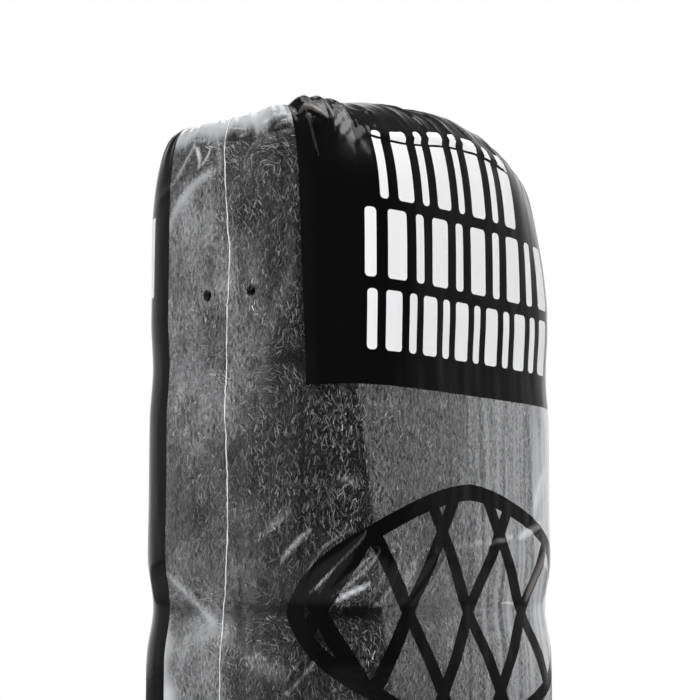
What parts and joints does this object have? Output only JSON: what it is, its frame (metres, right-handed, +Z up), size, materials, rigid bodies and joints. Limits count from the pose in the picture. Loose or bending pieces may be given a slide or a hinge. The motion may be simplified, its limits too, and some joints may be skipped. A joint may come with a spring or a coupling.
{
  "type": "steel wool pad pack",
  "caption": "Tall sleeve of rolled steel wool hand pads, stacked in tiers inside a clear film bag with welded sides, vent holes and a folded top.",
  "frame": {"origin": "middle of the flat base of the bag, on the surface it stands on", "axes": "+Z up along the height of the sleeve, the printed front looks along -Y, the welded narrow sides look along -X and +X"},
  "size_m": [0.1028, 0.0838, 0.2644],
  "materials": {
    "film": "clear glossy polyethylene film with black print",
    "wool": "matted fine steel wool"
  },
  "bodies": {
    "root": {"film_bag": "film", "pad_tier1_row1": "wool", "pad_tier1_row2": "wool", "pad_tier1_row3": "wool", "pad_tier1_row4": "wool", "pad_tier2_row1": "wool", "pad_tier2_row2": "wool", "pad_tier2_row3": "wool", "pad_tier2_row4": "wool", "pad_tier3_row1": "wool", "pad_tier3_row2": "wool", "pad_tier3_row3": "wool", "pad_tier3_row4": "wool", "pad_tier4_row1": "wool", "pad_tier4_row2": "wool", "pad_tier4_row3": "wool", "pad_tier4_row4": "wool"}
  },
  "joints": []
}
